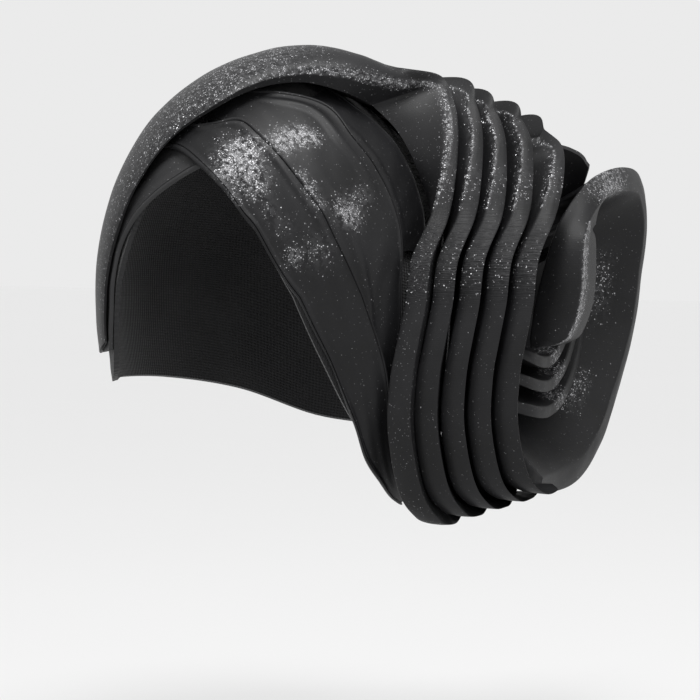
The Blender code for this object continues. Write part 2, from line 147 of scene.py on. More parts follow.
FLOOR_HEIGHT = -0.330
FLOOR_SPAN = 12.0
floor_mesh = bpy.data.meshes.new("floor")
half = FLOOR_SPAN / 2
floor_corners = [(-half, -half), (half, -half), (half, half), (-half, half)]
floor_mesh.from_pydata([(x, y, FLOOR_HEIGHT) for x, y in floor_corners], [], [(0, 1, 2, 3)])
floor = bpy.data.objects.new("floor", floor_mesh)
bpy.context.scene.collection.objects.link(floor)
floor_finish, start, shader, place = new_finish("pale_floor")
cloudy = start.node("ShaderNodeTexNoise", {}, {"Vector": place, "Scale": 3.0, "Detail": 3.0})
plug(shader, "Base Color", cloudy.blend((0.25, 0.25, 0.25, 1.0), (0.26, 0.26, 0.26, 1.0)))
shader.inputs["Roughness"].default_value = 0.9
shader.inputs["Specular IOR Level"].default_value = 0.1
shader.inputs["Emission Color"].default_value = (0.80, 0.80, 0.80, 1.0)
shader.inputs["Emission Strength"].default_value = 0.72
floor_mesh.materials.append(floor_finish)

# Base cap. A close stretch cap in matt black knit, cut out for the face, that the gele is sewn to.
# It is one cloth wall with a narrow turned hem, drawn over the head by its own stretch.
HEAD_HALF_WIDTH = 0.075
HEAD_HALF_DEPTH = 0.095
HEAD_CROWN_RISE = 0.100
HEAD_LOWER_REACH = 0.150
CAP_WALL = 0.0022
WRAP_WALL = 0.0020
LAYER_GAP = 0.0004
WRAP_BASE = CAP_WALL + LAYER_GAP
WRAP_STACK = CAP_WALL + 3 * (WRAP_WALL + LAYER_GAP)
CAP_COLUMNS_PER_ROW = 8
CAP_RINGS = 60
CAP_RING_CROWDING = 1.3
CAP_TOP_RISE = 89.6
CAP_HEM_WIDTH = 0.006
CAP_HEM_RISE = 0.00032
RIB_PITCH = 0.0014
STITCH_PITCH = 0.0011
SHARP_FOLD = math.radians(38.0)
FACING_SAMPLE = 400

CAP_EDGE = [
    # turn, rise
    (-180, -28),
    (-150, -26),
    (-120, -20),
    (-90, -17),
    (-60, -16),
    (-42, -16),
    (-30, -12),
    (-22, 4),
    (-13, 25),
    (-4, 40),
    (6, 45),
    (15, 40),
    (26, 29),
    (36, 15),
    (46, 0),
    (56, -12),
    (68, -23),
    (84, -31),
    (102, -34),
    (132, -33),
    (156, -30),
    (180, -28),
]


def smooth_between(rows, steps):
    """More rows between the given ones, each number on a smooth curve through its own values."""
    rows = np.asarray(rows, float)
    padded = np.concatenate([[2 * rows[0] - rows[1]], rows, [2 * rows[-1] - rows[-2]]])
    result = []
    for index in range(1, len(padded) - 2):
        before, begin, end, after = padded[index - 1:index + 3]
        for step in range(steps):
            t = step / steps
            result.append(0.5 * (
                2 * begin
                + (end - before) * t
                + (2 * before - 5 * begin + 4 * end - after) * t ** 2
                + (3 * begin - before - 3 * end + after) * t ** 3))
    result.append(rows[-1])
    return np.array(result)


def cap_place(turn, rise, off):
    """A place on the cap: degrees round from the face, degrees above the widest level, distance off."""
    around = math.radians(turn)
    climb = math.radians(rise)
    reach = HEAD_CROWN_RISE if rise > 0 else HEAD_LOWER_REACH
    return np.array([
        (HEAD_HALF_WIDTH + off) * math.cos(climb) * math.sin(around),
        -(HEAD_HALF_DEPTH + off) * math.cos(climb) * math.cos(around),
        -HEAD_CROWN_RISE + (reach + off) * math.sin(climb)])


def head_place(across, over, off):
    """A place over the head: degrees across to the wearer's left, over from the face, and distance off."""
    side = np.radians(across)
    turn = np.radians(over)
    height = np.cos(side) * np.sin(turn)
    reach = np.where(height > 0, HEAD_CROWN_RISE, HEAD_LOWER_REACH)
    return np.stack([
        (HEAD_HALF_WIDTH + off) * np.sin(side),
        -(HEAD_HALF_DEPTH + off) * np.cos(side) * np.cos(turn),
        -HEAD_CROWN_RISE + (reach + off) * height], axis=-1)


def running_length(lines):
    """How far along each line of places every place lies, in metres."""
    steps = np.linalg.norm(np.diff(lines, axis=0), axis=-1).mean(axis=tuple(range(1, lines.ndim - 1)))
    return np.concatenate([[0.0], np.cumsum(steps)])


def cloth_mesh(name, places, faces, cloth_at, marks, finish):
    """A mesh with its cloth coordinates in metres, and named marks that the finish reads."""
    mesh = bpy.data.meshes.new(name)
    mesh.from_pydata(places.tolist(), [], faces)
    layer = mesh.uv_layers.new(name="cloth")
    layer.data.foreach_set("uv", np.asarray(cloth_at, np.float32).ravel())
    for mark, values in marks.items():
        attribute = mesh.attributes.new(mark, "FLOAT", "POINT")
        attribute.data.foreach_set("value", np.asarray(values, np.float32))
    mesh.shade_smooth()
    mesh.set_sharp_from_angle(angle=SHARP_FOLD)
    mesh.materials.append(finish)
    piece = bpy.data.objects.new(name, mesh)
    bpy.context.scene.collection.objects.link(piece)
    return piece


def cloth_wall(name, inner, outer, marks, finish, closed=False):
    """A cloth wall between two grids of places, its rim closed. Marks hold a value for each place."""
    rows, columns = inner.shape[:2]
    along = running_length(inner)
    across = running_length(np.swapaxes(inner, 0, 1))
    across = np.append(across, across[-1] + (across[-1] - across[-2]))
    places = np.concatenate([inner.reshape(-1, 3), outer.reshape(-1, 3)])
    faces = []
    cloth_at = []

    def add_face(corners):
        """Adds a face from its corners, each a side, 0 for inner and 1 for outer, a row and a column."""
        faces.append([(side * rows + row) * columns + column % columns for side, row, column in corners])
        cloth_at.extend((along[row], across[column]) for side, row, column in corners)

    last = columns if closed else columns - 1
    for row in range(rows - 1):
        for column in range(last):
            loop = [(row, column), (row, column + 1), (row + 1, column + 1), (row + 1, column)]
            add_face([(0, *loop[index]) for index in (0, 3, 2, 1)])
            add_face([(1, *corner) for corner in loop])
    for row, turned in ((0, False), (rows - 1, True)):
        for column in range(last):
            rim = [(0, row, column), (0, row, column + 1), (1, row, column + 1), (1, row, column)]
            add_face(rim[::-1] if turned else rim)
    if not closed:
        for column, turned in ((0, True), (columns - 1, False)):
            for row in range(rows - 1):
                rim = [(0, row, column), (0, row + 1, column), (1, row + 1, column), (1, row, column)]
                add_face(rim[::-1] if turned else rim)
    doubled = {mark: np.concatenate([np.ravel(values)] * 2) for mark, values in marks.items()}
    piece = cloth_mesh(name, places, faces, cloth_at, doubled, finish)
    # The outer grid has to face away from the head, and the rim goes with it.
    middle = np.array([0.0, 0.0, -HEAD_CROWN_RISE])
    outer_faces = list(piece.data.polygons)[1:FACING_SAMPLE:2]
    facing = sum(np.dot(face.normal, np.array(face.center) - middle) for face in outer_faces)
    if facing < 0:
        piece.data.flip_normals()
    return piece


def cap_material():
    """Matt black stretch knit: fine rows of stitches, a little fuzz."""
    material, start, shader, place = new_finish("stretch_knit")
    cloth = start.node("ShaderNodeUVMap", {"uv_map": "cloth"}, {})
    along = cloth.node("ShaderNodeSeparateXYZ", {}, {0: cloth})
    across = Wire(along.tree, along.socket.node.outputs[1])
    rib = across.math("SINE", across * (2 * math.pi / RIB_PITCH))
    stitch = along.math("SINE", along * (2 * math.pi / STITCH_PITCH))
    fuzz = start.node("ShaderNodeTexNoise", {}, {"Vector": place, "Scale": 900.0, "Detail": 3.0})
    worn = start.node("ShaderNodeTexNoise", {}, {"Vector": place, "Scale": 28.0, "Detail": 4.0})
    height = rib * 0.4 + stitch * 0.25 + fuzz * 0.7
    bump = height.node("ShaderNodeBump", {}, {"Strength": 0.55, "Distance": 0.0005, "Height": height})
    plug(shader, "Normal", bump)
    shade = worn.between(0.35, 0.7)
    plug(shader, "Base Color", shade.blend((0.014, 0.014, 0.015, 1.0), (0.022, 0.022, 0.023, 1.0)))
    plug(shader, "Roughness", 0.82 + worn * 0.12)
    shader.inputs["Sheen Weight"].default_value = 0.15
    shader.inputs["Sheen Roughness"].default_value = 0.4
    return material


cap_edge = smooth_between(CAP_EDGE, CAP_COLUMNS_PER_ROW)[:-1]
cap_inner = []
cap_outer = []
for ring in range(CAP_RINGS):
    share = (ring / (CAP_RINGS - 1)) ** CAP_RING_CROWDING
    inner_line = []
    outer_line = []
    for turn, rise in cap_edge:
        height = rise + share * (CAP_TOP_RISE - rise)
        from_edge = share * math.radians(90 - rise) * HEAD_HALF_DEPTH
        hem = CAP_HEM_RISE * min(1.0, max(0.0, 4 * (1 - from_edge / CAP_HEM_WIDTH)))
        inner_line.append(cap_place(turn, height, 0.0))
        outer_line.append(cap_place(turn, height, CAP_WALL + hem))
    cap_inner.append(inner_line)
    cap_outer.append(outer_line)
base_cap = cloth_wall(
    "stretch_cap", np.array(cap_inner), np.array(cap_outer), {}, cap_material(), closed=True)
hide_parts("base_cap")
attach(base_cap, "root")

# Front wraps. Long bias strips of the glitter cloth with turned hems, crossed low on the forehead and
# laid back over the wearer's left temple one behind the other, each sewn down under the next.
# The first strip is the paler cloth that shows at the wearer's right temple.
WRAP_STEPS = 12
WRAP_ACROSS = 34
WRAP_RIPPLE = 0.0002
FOLD_FADE = 0.12
PLAIN_DUST = 0.003
FLAKES_PER_METRE = 1700.0
SPECKS_PER_METRE = 3200.0
HEM_PROFILE = [
    # distance from the edge, rise of the outer face, lift of the inner face
    (0.0000, -0.0004, 0.0010),
    (0.0002, 0.0003, 0.0009),
    (0.0006, 0.0007, 0.0008),
    (0.0012, 0.0008, 0.0006),
    (0.0017, 0.0006, 0.0004),
    (0.0020, 0.0000, 0.0003),
    (0.0023, 0.0000, 0.0002),
    (0.0026, 0.0004, 0.0001),
    (0.0032, 0.0003, 0.0000),
    (0.0045, 0.0000, 0.0000),
]

UNDER_WRAP = [
    # low across, low over, high across, high over, low lift, high lift
    (-27, -11, -37, -13, 0.0, 0.0),
    (-24, -4, -35, 0, 0.0, 0.0),
    (-22, 6, -33, 11, 0.0, 0.0),
    (-18, 15, -28, 23, 0.0, 0.0),
    (-10, 23, -21, 38, 0.0, 0.0),
    (1, 30, -10, 44, 0.0, 0.0),
    (9, 35, 2, 47, 0.0, 0.0),
    (15, 39, 12, 43, 0.0, 0.0),
]
FRONT_WRAP_LOWER = [
    (-12, 41, -12, 49, 1.2, 1.3),
    (-2, 39, 2, 47, 1.2, 1.6),
    (8, 35, 9, 48, 1.2, 2.0),
    (20, 29, 16, 51, 0.9, 2.1),
    (28, 23, 25, 48, 0.4, 2.1),
    (34, 18, 34, 44, 0.1, 2.1),
    (44, 4, 44, 38, 0.1, 2.1),
    (50, -6, 52, 31, 0.1, 2.1),
    (56, -23, 62, 13, 0.1, 2.1),
    (58, -46, 69, -15, 0.1, 2.1),
    (56, -64, 70, -42, 0.1, 2.0),
    (54, -80, 65, -66, 0.1, 1.6),
    (50, -95, 58, -88, 0.1, 1.2),
    (47, -104, 51, -101, 0.1, 0.6),
]
FRONT_WRAP_MIDDLE = [
    (2, 51, 0, 62, 0.0, 1.2),
    (10, 49, 8, 64, 0.0, 1.2),
    (20, 46, 18, 68, 0.0, 1.2),
    (29, 43, 32, 75, 0.0, 1.2),
    (38, 38, 44, 73, 0.0, 1.2),
    (46, 30, 55, 73, 0.0, 1.2),
    (54, 17, 64, 71, 0.0, 1.2),
    (62, -6, 73, 62, 0.0, 1.2),
    (64, -30, 79, 34, 0.0, 1.1),
    (62, -52, 80, -20, 0.0, 1.0),
    (60, -72, 72, -62, 0.0, 0.8),
]
FRONT_WRAP_UPPER = [
    (26, 69, 22, 88, 0.0, 0.0),
    (34, 69, 33, 91, 0.0, 0.0),
    (45, 68, 45, 99, 0.0, 0.0),
    (54, 67, 58, 105, 0.0, 0.0),
    (62, 64, 68, 109, 0.0, 0.0),
    (70, 56, 77, 112, 0.0, 0.0),
    (76, 40, 82, 130, 0.0, 0.0),
]

# Soft folds pressed into each wrap, each a low ridge that runs along the strip
WRAP_FOLDS = [
    # wrap, share across, half width share, height, first share along, last share along
    ("front_wrap_lower", 0.07, 0.05, 0.0007, 0.15, 0.95),
    ("front_wrap_lower", 0.88, 0.07, 0.0008, 0.00, 0.60),
    ("front_wrap_middle", 0.36, 0.10, 0.0010, 0.42, 0.95),
    ("front_wrap_middle", 0.80, 0.08, 0.0012, 0.15, 0.62),
    ("front_wrap_upper", 0.30, 0.12, 0.0008, 0.20, 0.90),
    ("under_wrap", 0.45, 0.16, 0.0006, 0.10, 0.85),
]

# Where the silver flakes lie thick on the wraps, and where a painted sheen lightens the satin
GLITTER_PATCHES = [
    # across, over, radius, thickness of the flakes
    (21, 39, 0.0085, 0.62),
    (22, 42, 0.0060, 0.40),
    (26, 35, 0.0080, 0.38),
    (19, 34, 0.0045, 0.35),
    (24, 27, 0.0030, 0.25),
    (30, 32, 0.0050, 0.22),
    (35, 27, 0.0040, 0.10),
    (40, 23, 0.0050, 0.07),
    (45, 14, 0.0040, 0.26),
    (51, 18, 0.0070, 0.10),
    (28, 50, 0.0050, 0.40),
    (31, 54, 0.0055, 0.60),
    (34, 57, 0.0050, 0.60),
    (37, 59, 0.0035, 0.45),
    (31, 48, 0.0045, 0.30),
    (40, 43, 0.0030, 0.35),
    (44, 40, 0.0040, 0.45),
    (48, 36, 0.0040, 0.32),
    (56, 42, 0.0060, 0.32),
    (58, 40, 0.0050, 0.32),
    (58, 54, 0.0050, 0.14),
]


def glitter_cloth(name, cloth_shade, lit_shade, dust):
    """Near-black satin with a scatter of silver flakes, thicker where the cloth's mark says, and a painted
    sheen that lightens the satin where they lie thick.
    """
    material, start, shader, place = new_finish(name)
    mark = start.node("ShaderNodeAttribute", {"attribute_name": "glitter_and_sheen"}, {}, "Fac")
    gather = start.node("ShaderNodeAttribute", {"attribute_name": "gathers"}, {}, "Fac")
    cloth = start.node("ShaderNodeUVMap", {"uv_map": "cloth"}, {})
    clumps = start.node(
        "ShaderNodeTexNoise", {}, {"Vector": place, "Scale": 420.0, "Detail": 3.0, "Roughness": 0.65})
    flakes = start.node("ShaderNodeTexVoronoi", {}, {"Vector": place, "Scale": FLAKES_PER_METRE})
    flake_colour = Wire(start.tree, flakes.socket.node.outputs["Color"])
    pick = flake_colour.node("ShaderNodeSeparateColor", {}, {0: flake_colour})
    gleam = Wire(start.tree, pick.socket.node.outputs[1])
    flakes_and_sheen = mark * clumps.between(0.36, 0.60) * 1.80
    flake = (pick + flakes_and_sheen).between(0.997, 1.012) * (1.0 - flakes.between(0.50, 0.62))
    fine = start.node("ShaderNodeTexVoronoi", {}, {"Vector": place, "Scale": SPECKS_PER_METRE})
    fine_colour = Wire(start.tree, fine.socket.node.outputs["Color"])
    fine_pick = fine_colour.node("ShaderNodeSeparateColor", {}, {0: fine_colour})
    speck = (fine_pick + (dust + mark * 0.10)).between(0.996, 1.004)
    silver = flake * (0.10 + 0.75 * gleam) + speck * 0.22
    silver = silver.math("MINIMUM", silver, 1.0)
    wear = start.node("ShaderNodeTexNoise", {}, {"Vector": place, "Scale": 30.0, "Detail": 4.0})
    shade = wear.between(0.3, 0.7).blend(cloth_shade, lit_shade)
    # Painted sheen: where the flakes lie thick the base colour is lightened towards grey, standing in for
    # the satin's highlight.
    painted_sheen = flakes_and_sheen * 0.9
    shade = painted_sheen.math("MINIMUM", painted_sheen, 1.0).blend(shade, (0.15, 0.15, 0.155, 1.0))
    plug(shader, "Base Color", silver.blend(shade, (0.72, 0.72, 0.74, 1.0)))
    plug(shader, "Metallic", silver * 0.55)
    plug(shader, "Roughness", 0.44 + wear * 0.10 - silver * 0.15)
    stretched = cloth.node("ShaderNodeMapping", {}, {"Vector": cloth, "Scale": (1500.0, 90.0, 1.0)})
    lines = cloth.node("ShaderNodeTexNoise", {}, {"Vector": stretched, "Scale": 1.0, "Detail": 2.0})
    warp = cloth.node("ShaderNodeMapping", {}, {"Vector": cloth, "Scale": (2600.0, 2600.0, 1.0)})
    weave = cloth.node("ShaderNodeTexNoise", {}, {"Vector": warp, "Scale": 1.0, "Detail": 1.0})
    height = lines * gather * 3.0 + weave * 0.12 + flake * 0.25
    bump = height.node("ShaderNodeBump", {}, {"Strength": 0.6, "Distance": 0.0006, "Height": height})
    tilt = flake_colour.node(
        "ShaderNodeVectorMath", {"operation": "SUBTRACT"}, {0: flake_colour, 1: (0.5, 0.5, 0.5)})
    leaned = tilt.node(
        "ShaderNodeVectorMath", {"operation": "MULTIPLY_ADD"}, {0: tilt, 1: (1.1, 1.1, 1.1), 2: bump})
    unit_lean = leaned.node("ShaderNodeVectorMath", {"operation": "NORMALIZE"}, {0: leaned})
    normal = flake.node("ShaderNodeMix", {"data_type": "VECTOR"}, {0: flake, 4: bump, 5: unit_lean}, 1)
    plug(shader, "Normal", normal)
    shader.inputs["Specular IOR Level"].default_value = 0.22
    return material


def soft_bump(value, centre, half_width):
    """1 at the centre, 0 from half_width away, smooth between."""
    near = np.maximum(0.0, 1 - np.abs(value - centre) / half_width)
    return near * near * (3 - 2 * near)


def wrap_patches(across, over):
    """How thick the flakes lie at each place on the wraps, which also sets the painted sheen there."""
    places = head_place(across, over, WRAP_STACK)
    amount = PLAIN_DUST
    for patch_across, patch_over, radius, thickness in GLITTER_PATCHES:
        distance = np.linalg.norm(places - head_place(patch_across, patch_over, WRAP_STACK), axis=-1)
        amount = amount + thickness * np.exp(-(distance / radius) ** 2)
    return np.minimum(0.8, amount)


def lay_wrap(name, node, table, finish):
    """A wrap over the head between its two edges, with soft folds pressed in and stitched hems."""
    rows = smooth_between(table, WRAP_STEPS)
    low_across, low_over, high_across, high_over, low_lift, high_lift = rows.T[:, :, None]
    width = np.radians(np.hypot(high_across - low_across, high_over - low_over)) * HEAD_HALF_DEPTH
    near_edge = np.array(HEM_PROFILE)[:, 0]
    near_share = np.minimum(near_edge / width, 0.45 * near_edge / near_edge[-1])
    inner_share = np.linspace(0.0, 1.0, WRAP_ACROSS + 2)[1:-1]
    inner_share = near_share[:, -1:] + inner_share * (1 - 2 * near_share[:, -1:])
    share = np.concatenate([near_share, inner_share, 1 - near_share[:, ::-1]], axis=1)
    along = np.linspace(0.0, 1.0, len(rows))[:, None] + 0 * share
    across = low_across + share * (high_across - low_across)
    over = low_over + share * (high_over - low_over)
    off = WRAP_BASE + (low_lift + share * (high_lift - low_lift)) * (WRAP_WALL + LAYER_GAP)
    edge = np.minimum(share, 1 - share) * width
    hem, undercut = (np.interp(edge, near_edge, np.array(HEM_PROFILE)[:, column]) for column in (1, 2))
    ridge = WRAP_RIPPLE * np.sin(along * 31 + share * 9 + len(node)) * np.sin(share * 7 + along * 13)
    for wrap, centre, half_width, height, first, last in WRAP_FOLDS:
        if wrap == node:
            fade = np.clip(np.minimum(along - first, last - along) / FOLD_FADE, 0.0, 1.0)
            ridge = ridge + height * fade * soft_bump(share, centre, half_width)
    inner = head_place(across, over, off + undercut)
    outer = head_place(across, over, off + WRAP_WALL + hem + ridge)
    marks = {"glitter_and_sheen": wrap_patches(across, over), "gathers": 0.0 * share}
    piece = cloth_wall(name, inner, outer, marks, finish)
    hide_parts(node)
    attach(piece, "root")


wrap_finish = glitter_cloth(
    "glitter_satin", (0.006, 0.006, 0.0065, 1.0), (0.010, 0.010, 0.011, 1.0), 0.002)
under_finish = glitter_cloth(
    "under_satin", (0.022, 0.022, 0.023, 1.0), (0.030, 0.030, 0.031, 1.0), 0.002)
lay_wrap(
    "temple_strip", "under_wrap", UNDER_WRAP, under_finish)
lay_wrap(
    "lower_wrap", "front_wrap_lower", FRONT_WRAP_LOWER, wrap_finish)
lay_wrap(
    "middle_wrap", "front_wrap_middle", FRONT_WRAP_MIDDLE, wrap_finish)
lay_wrap(
    "upper_wrap", "front_wrap_upper", FRONT_WRAP_UPPER, wrap_finish)

# Crown pleat. A wide padded roll of the same cloth that starts at the wearer's right temple, frames the
# crown, and turns on edge over the wearer's left ear, where it runs down as the first of the pleats.
# It is cloth over light padding, its edge folded hard and caught down on the cap.
CROWN_STAND = 0.0115
FAN_STAND = 0.0250
PLEAT_THICKNESS = 0.0105
PLEAT_PITCH_OUT = 0.0112
PLEAT_PITCH_BACK = 0.0060
FAN_CLOSE = 0.0150
FAR_ROOT_STAND = 0.35
ROOT_SHARE = 0.84
ROOT_SHARE_TOP = 0.40
LAST_PLACE = 5
BAND_SWELL = 0.07
BOTTOM_WIDTH = 0.0117
SOFT_START = 0.0040
PAD_BASE = WRAP_BASE + 0.0012
TOP_WEIGHTS = [1.0, 1.0, 0.7, 0.4, 0.2]
STRIP_STEPS = 14
BAND_POINTS = 19
WALL_POINTS = 9
ROOT_POINTS = 7
CORNER_ROUND = 0.0008
CORNER_SHARE = 0.2
HALO_CORNER = 0.06
HALO_SHOULDER = 0.05
SHOULDER_LOW = 0.72
ROOT_SHARE_BOTTOM = 0.96
BOTTOM_LEVEL = -0.125
BOTTOM_BLEND = 0.030
CLOSED_END = [
    # size of the section, distance out
    (0.96, 0.0006),
    (0.70, 0.0010),
]
OUT = np.array([math.cos(math.radians(15.0)), math.sin(math.radians(15.0)), 0.0])
BACK = np.array([-math.sin(math.radians(15.0)), math.cos(math.radians(15.0)), 0.0])
UP = np.array([0.0, 0.0, 1.0])

HALO_ROWS = [
    # front across, front over, back across, back over, front seat, front edge, crest, back height
    (-27, -9, -72, -24, 1.00, 0.12, 0.16, 0.14),
    (-26, -4, -78, -10, 1.00, 0.14, 0.18, 0.14),
    (-24, 5, -80, 18, 1.00, 0.16, 0.20, 0.16),
    (-20, 16, -80, 50, 1.00, 0.18, 0.27, 0.20),
    (-13, 28, -76, 72, 1.9, 0.12, 0.34, 0.26),
    (-3, 40, -60, 84, 3.2, 0.12, 0.46, 0.38),
    (7, 51, -36, 91, 3.4, 0.24, 0.66, 0.52),
    (14, 62, -12, 95, 3.4, 0.36, 0.98, 0.74),
    (22, 73, 6, 97, 3.4, 0.50, 1.42, 1.00),
    (31, 82, 22, 98, 3.4, 0.85, 1.80, 1.50),
]
FAN_ROWS = [
    # across, over, off, band out/back/up, thickness, near turn and rise, far turn and rise, rise by pleat
    (38, 96, 0.64, 0.1, 0.5, 0.9, 1.10, 93, 55, 146, 34, 0.0),
    (40, 107, 1.00, 0.2, 0.6, 0.8, 0.72, 95, 53, 143, 30, 0.0),
    (47, 106, 0.96, 0.6, 0.7, 0.5, 0.58, 98, 46, 138, 26, 0.0),
    (54, 103, 0.84, 0.7, 0.7, 0.1, 0.58, 98, 39, 133, 22, 0.0),
    (63, 96, 0.62, 0.8, 0.6, 0.0, 0.70, 97, 31, 127, 16, 0.0),
    (72, 82, 0.36, 0.9, 0.4, 0.0, 0.86, 96, 20, 121, 10, 0.0),
    (77, 40, 0.20, 1.0, 0.1, 0.0, 0.97, 94, 8, 116, 4, 0.0),
    (78, -7, 0.14, 1.0, 0.0, 0.0, 1.01, 92, -2, 112, -2, 0.0),
    (74, -28, 0.14, 1.0, 0.0, 0.0, 1.02, 92, -8, 110, -8, 0.0),
    (69, -42, 0.14, 1.0, 0.0, 0.0, 1.03, 92, -15, 111, -15, 0.1),
    (63, -57, 0.20, 1.0, 0.0, 0.0, 1.10, 95, -23, 114, -21, 0.2),
    (56, -75, 0.42, 1.0, 0.1, 0.0, 1.10, 98, -29, 117, -26, 0.6),
    (53, -87, 0.64, 1.0, 0.2, -0.1, 1.06, 101, -33, 120, -29, 1.0),
    (52, -96, 0.70, 1.0, 0.2, -0.1, 1.00, 103, -36, 122, -32, 1.3),
    (50, -106, 0.60, 1.0, 0.1, 0.0, 0.90, 104, -38, 123, -34, 1.3),
    (50, -118, 0.45, 1.0, 0.1, 0.0, 0.90, 110, -37, 127, -33, 1.3),
]


def unit(vector):
    return vector / np.linalg.norm(vector)


def rose_place(out, back, up):
    """A place given along the rosette's axis, back from the ear, and up."""
    return out * OUT + back * BACK + up * UP


def shares(count):
    return [index / (count - 1) for index in range(count)]


def padded_ring(top, bottom):
    """One section of a padded strip: up its near wall, over its band, down its far wall, along its root."""
    top = np.asarray(top)
    bottom = np.asarray(bottom)
    near_wall = [bottom[0] + share * (top[0] - bottom[0]) for share in shares(WALL_POINTS + 2)[1:-1]]
    far_wall = [top[-1] + share * (bottom[-1] - top[-1]) for share in shares(WALL_POINTS + 2)[1:-1]]
    return np.array([*near_wall, *top, *far_wall, *bottom[::-1]])


def rounded_band(corner, width, band, near_root, far_root, softness=0.0):
    """The band that shows on a pleat: nearly flat, a little swollen, its two edges rounded."""
    points = []
    radius = min(CORNER_ROUND + softness, 0.3 * width)
    inward_near = unit(near_root - corner)
    inward_far = unit(far_root - corner - width * band)
    for share in shares(BAND_POINTS):
        if share < CORNER_SHARE:
            angle = share / CORNER_SHARE * math.pi / 2
            side = radius * (1 - math.cos(angle))
            depth = radius * (1 - math.sin(angle))
        elif share > 1 - CORNER_SHARE:
            angle = (1 - share) / CORNER_SHARE * math.pi / 2
            side = width - radius * (1 - math.cos(angle))
            depth = radius * (1 - math.sin(angle))
        else:
            side = radius + (share - CORNER_SHARE) / (1 - 2 * CORNER_SHARE) * (width - 2 * radius)
            depth = 0.0
        across = side / width
        inward = unit(inward_near + across * (inward_far - inward_near))
        swell = BAND_SWELL * width * math.sin(math.pi * across)
        points.append(corner + side * band + (depth - swell) * inward)
    return points


def band_share(step, corner):
    """Spaces the points of a band as a rounded one has them, close together at its two corners."""
    if step < CORNER_SHARE:
        return corner * (1 - math.cos(step / CORNER_SHARE * math.pi / 2))
    if step > 1 - CORNER_SHARE:
        return 1 - corner * (1 - math.cos((1 - step) / CORNER_SHARE * math.pi / 2))
    return corner + (step - CORNER_SHARE) / (1 - 2 * CORNER_SHARE) * (1 - 2 * corner)


def halo_section(row):
    """The crown roll over the head, seated on the wraps in front and on the cap behind."""
    front_across, front_over, back_across, back_over, seat, edge, crest, back = row

    def at(share, height):
        across = front_across + share * (back_across - front_across)
        over = front_over + share * (back_over - front_over)
        seat_off = PAD_BASE + (WRAP_WALL + LAYER_GAP) * seat * max(0.0, 1 - 1.5 * share)
        return head_place(across, over, seat_off + CROWN_STAND * height)

    top = []
    for step in shares(BAND_POINTS):
        share = band_share(step, HALO_CORNER)
        line = edge + share * (back - edge)
        rise = line + (crest - (edge + back) / 2) * math.sin(math.pi * share) ** 0.8
        shoulder = math.sin(min(1.0, share / HALO_SHOULDER, (1 - share) / HALO_SHOULDER) * math.pi / 2)
        top.append(at(share, rise * (SHOULDER_LOW + (1 - SHOULDER_LOW) * shoulder)))
    bottom = [at(share, 0.0) for share in shares(ROOT_POINTS)]
    return padded_ring(top, bottom)


def top_weight(row_index):
    """How far a row of the fan belongs to its top."""
    return TOP_WEIGHTS[row_index] if row_index < len(TOP_WEIGHTS) else 0.0


def fan_root(row, along):
    """Where a pleat's wall is rooted, between the first pleat's root and the last one's."""
    near_turn, near_rise, far_turn, far_rise = row[7:11]
    near = cap_place(near_turn, near_rise, WRAP_STACK + LAYER_GAP)
    far = cap_place(far_turn, far_rise, WRAP_STACK + FAR_ROOT_STAND * FAN_STAND)
    return near + along / LAST_PLACE * (far - near)


def fan_section(row, along, weight, top_rise, narrowed=1.0):
    """One section of a pleat in the fan: the band that shows, and the walls that run in to its root."""
    across, over, off, band_out, band_back, band_up, thickness = row[:7]
    corner = head_place(across, over, WRAP_STACK + off * FAN_STAND)
    corner = corner + along * (PLEAT_PITCH_OUT * OUT + PLEAT_PITCH_BACK * BACK)
    corner = corner + (weight * top_rise + along / LAST_PLACE * row[11]) * FAN_CLOSE * UP
    band = unit(rose_place(band_out, band_back, band_up))
    root = fan_root(row, along)
    low = min(1.0, max(0.0, (BOTTOM_LEVEL - corner[2]) / BOTTOM_BLEND))
    root_share = ROOT_SHARE + weight * (ROOT_SHARE_TOP - ROOT_SHARE)
    root_share += low * (ROOT_SHARE_BOTTOM - ROOT_SHARE)
    root_end = fan_root(row, along + root_share)
    width = thickness * PLEAT_THICKNESS
    width = narrowed * (width + low * max(0.0, BOTTOM_WIDTH - width))
    softness = SOFT_START * weight if along == 0 else 0.0
    top = rounded_band(corner, width, band, root, root_end, softness)
    bottom = [root + share * (root_end - root) for share in shares(ROOT_POINTS)]
    return padded_ring(top, bottom)


